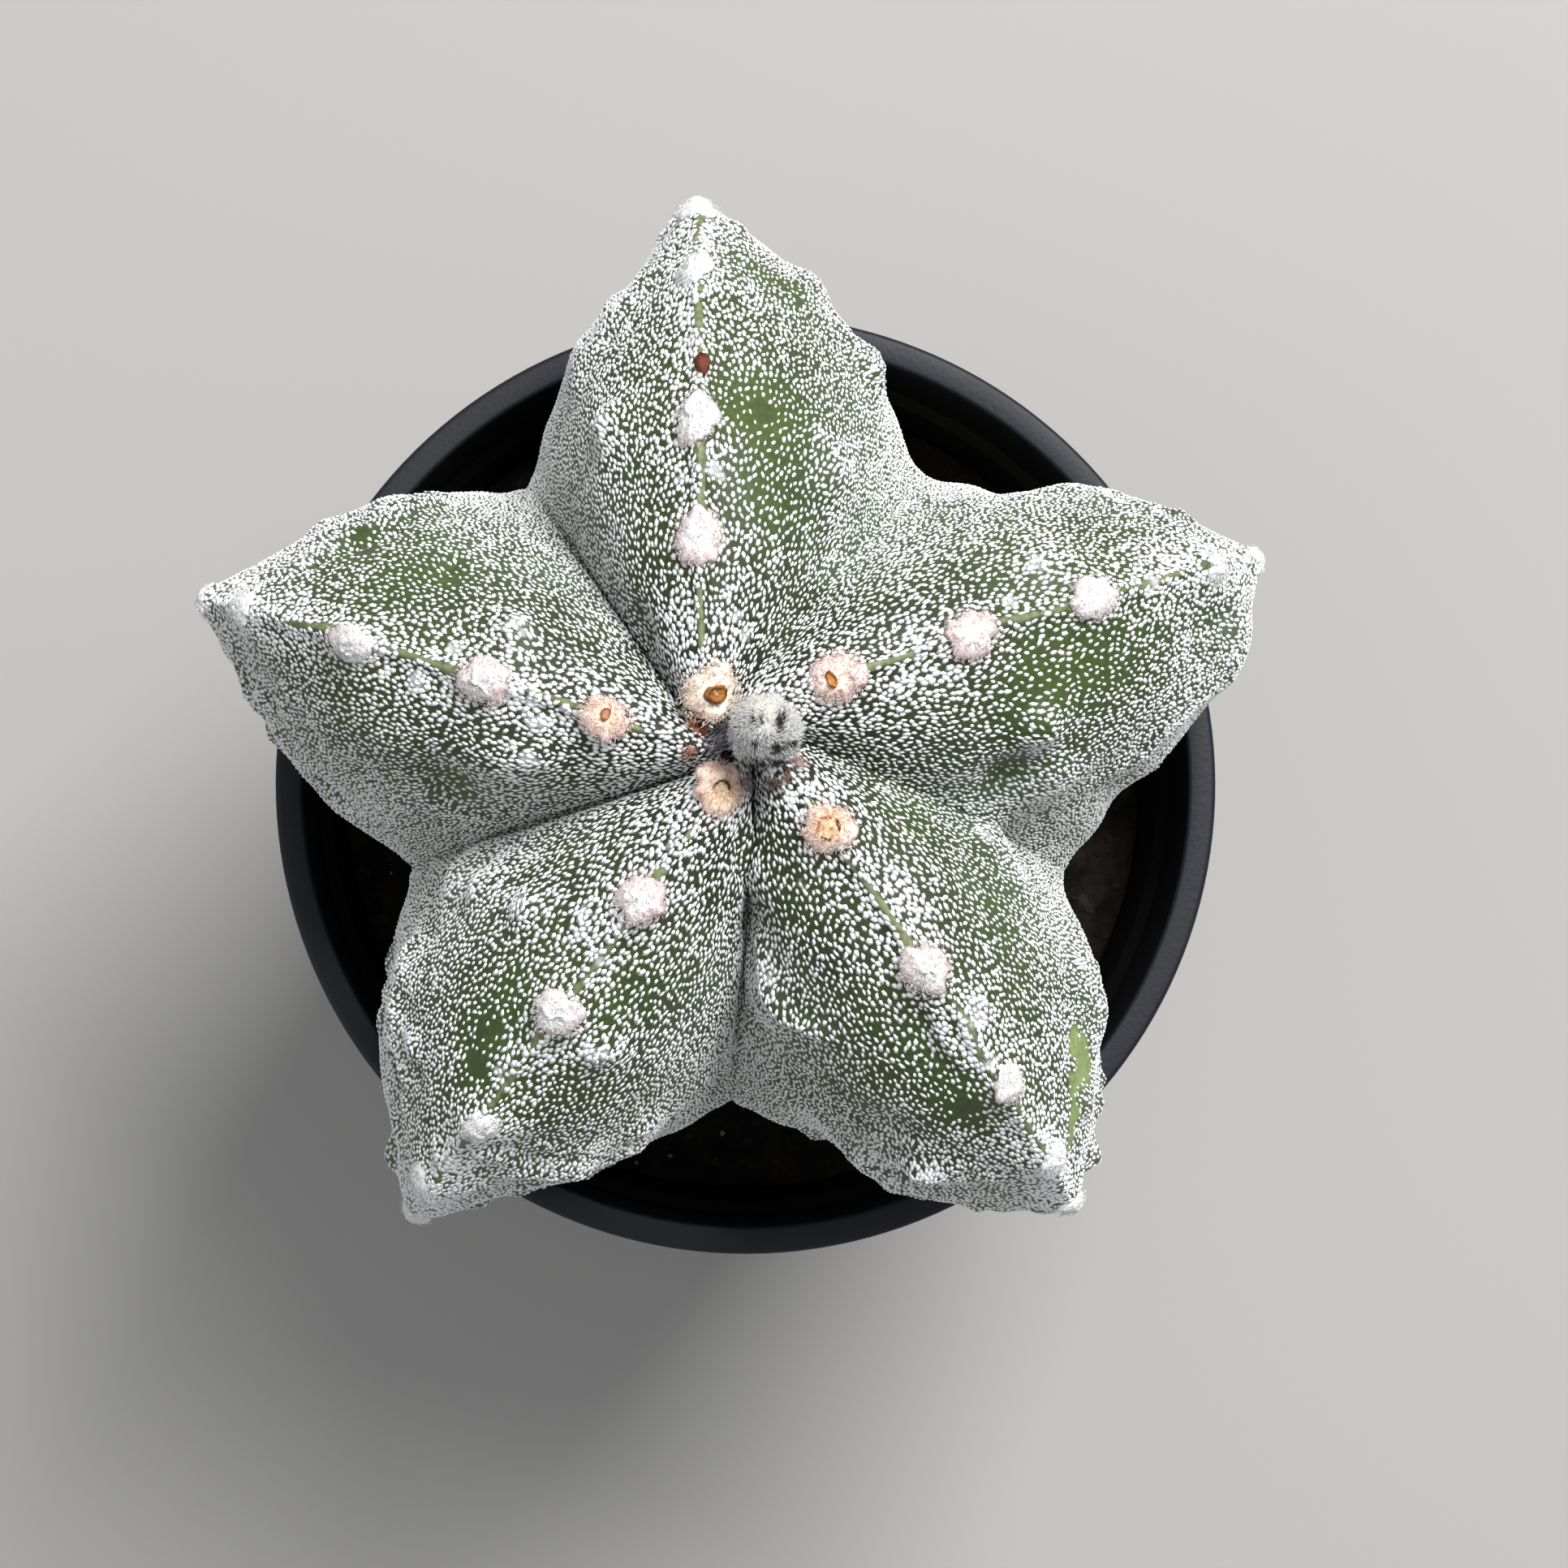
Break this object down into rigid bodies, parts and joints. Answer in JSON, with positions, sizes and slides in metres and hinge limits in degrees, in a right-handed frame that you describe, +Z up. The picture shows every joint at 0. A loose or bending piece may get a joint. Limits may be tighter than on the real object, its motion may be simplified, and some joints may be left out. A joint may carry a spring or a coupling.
{
  "type": "potted bishop's cap cactus",
  "caption": "Ribbed, star-shaped cactus flecked with white, with woolly areoles along its crests and a flower bud in its crown, growing in soil in a round tapered nursery pot.",
  "frame": {"origin": "centre of the flat disc in the middle of the pot's underside, on the pot's axis", "axes": "+Z up along the pot's axis, +X and +Y the right and the top of the view from straight above; one rib points to about +Y"},
  "size_m": [0.1065, 0.1077, 0.1612],
  "materials": {
    "pot_plastic": "satin black moulded plastic",
    "potting_mix": "dull dark gritty potting mix",
    "cactus_skin": "dull olive green skin with fine white flecks",
    "bud_wool": "matt grey wool over dark scales"
  },
  "bodies": {
    "root": {"pot": "pot_plastic", "soil": "potting_mix", "cactus_body": "cactus_skin", "flower_bud": "bud_wool"}
  },
  "joints": []
}
